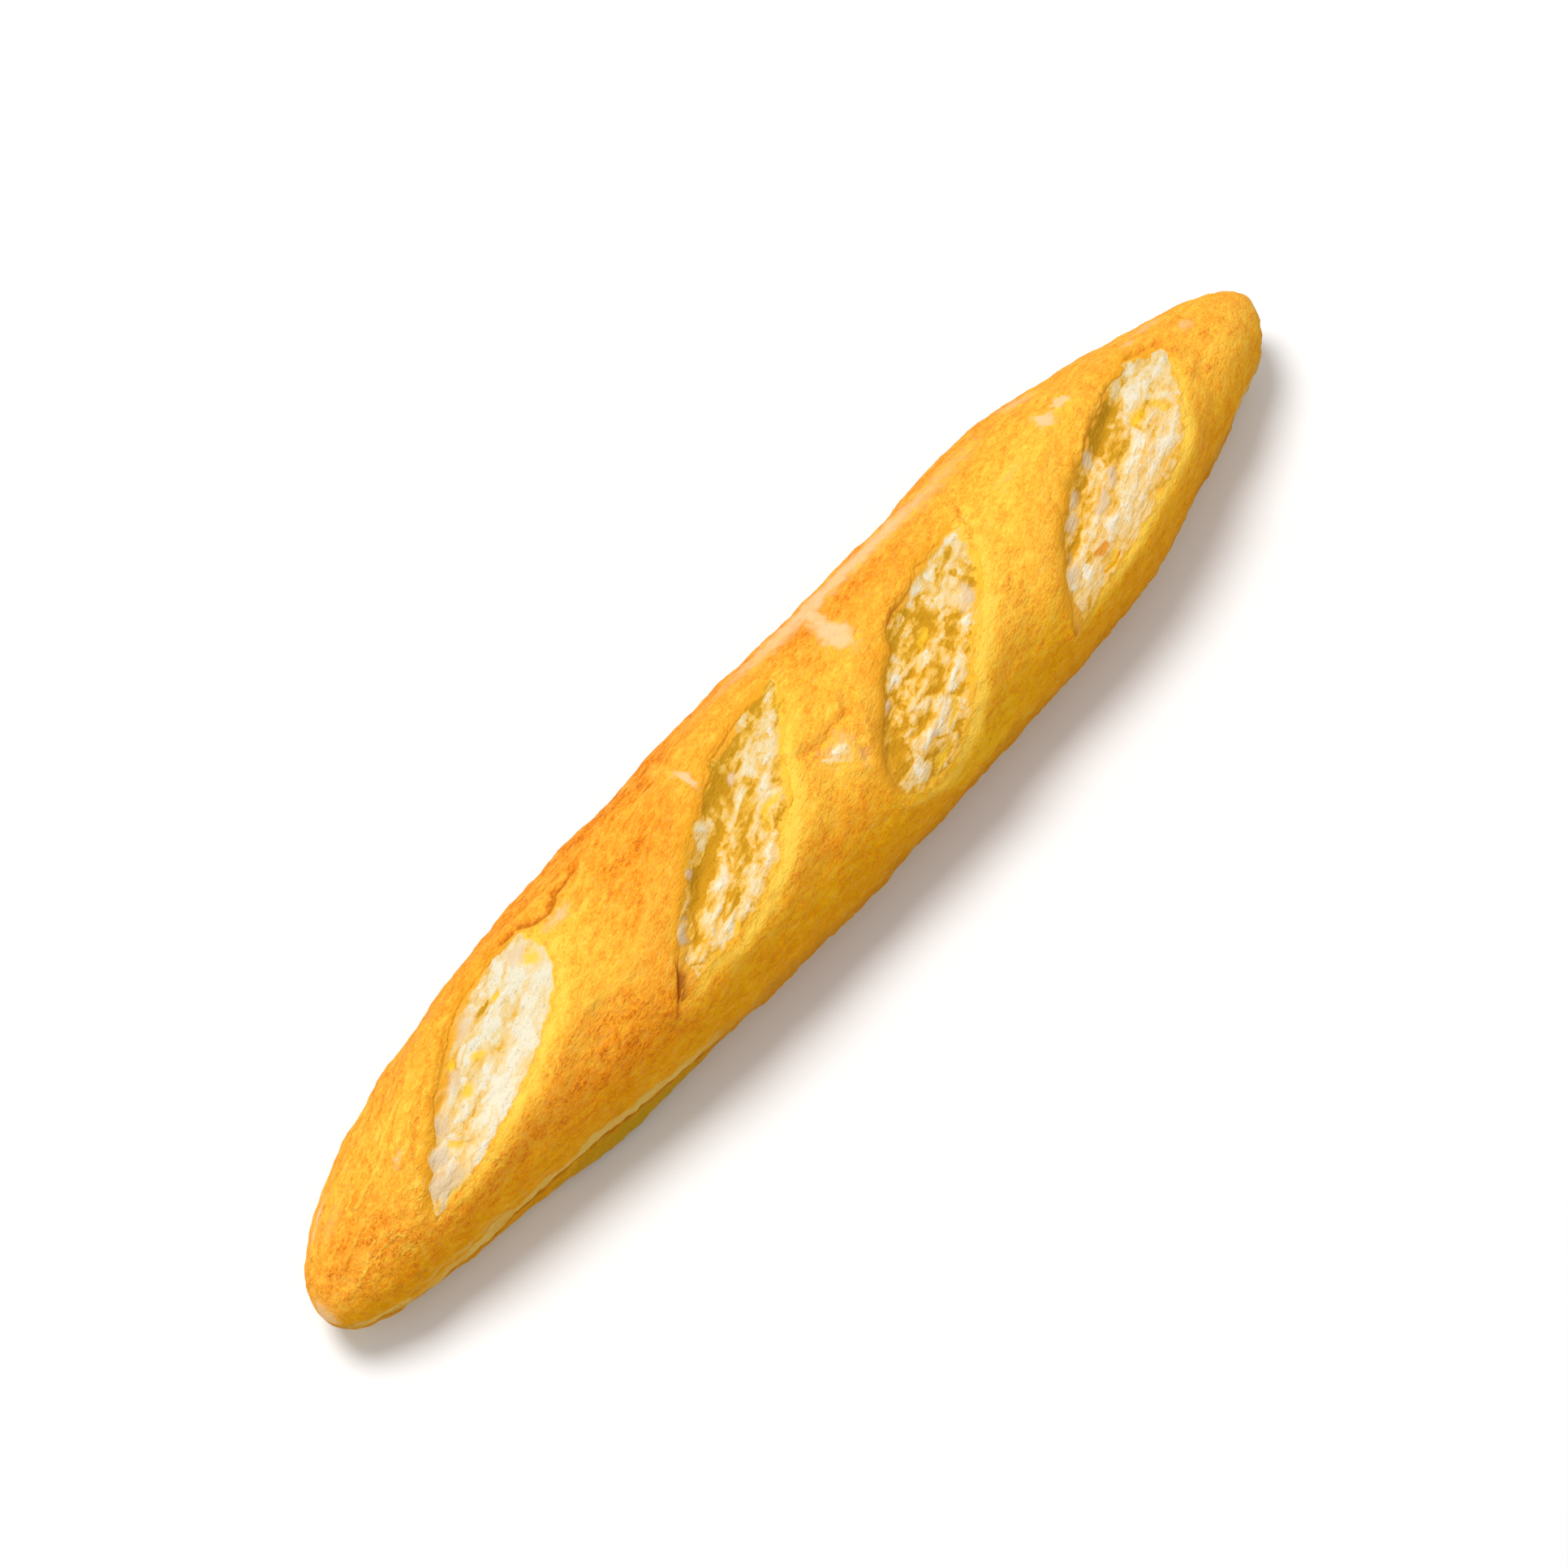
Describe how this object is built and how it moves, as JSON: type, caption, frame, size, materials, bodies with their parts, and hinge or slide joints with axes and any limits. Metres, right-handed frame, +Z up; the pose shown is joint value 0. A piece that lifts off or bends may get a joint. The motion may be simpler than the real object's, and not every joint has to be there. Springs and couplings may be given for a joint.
{
  "type": "baguette",
  "caption": "Short crusty loaf, long and slim with tapered ends, a flat base and slanting scores that open on pale crumb.",
  "frame": {"origin": "under the middle of the loaf's box, on the plane it rests on", "axes": "+X along the loaf towards its more pointed end, +Y to its side, +Z up"},
  "size_m": [0.3, 0.0532, 0.044],
  "materials": {
    "crust": "dry baked crust, golden to brown",
    "crumb": "dry torn crumb, cream"
  },
  "bodies": {
    "root": {"loaf": "crust"}
  },
  "joints": []
}
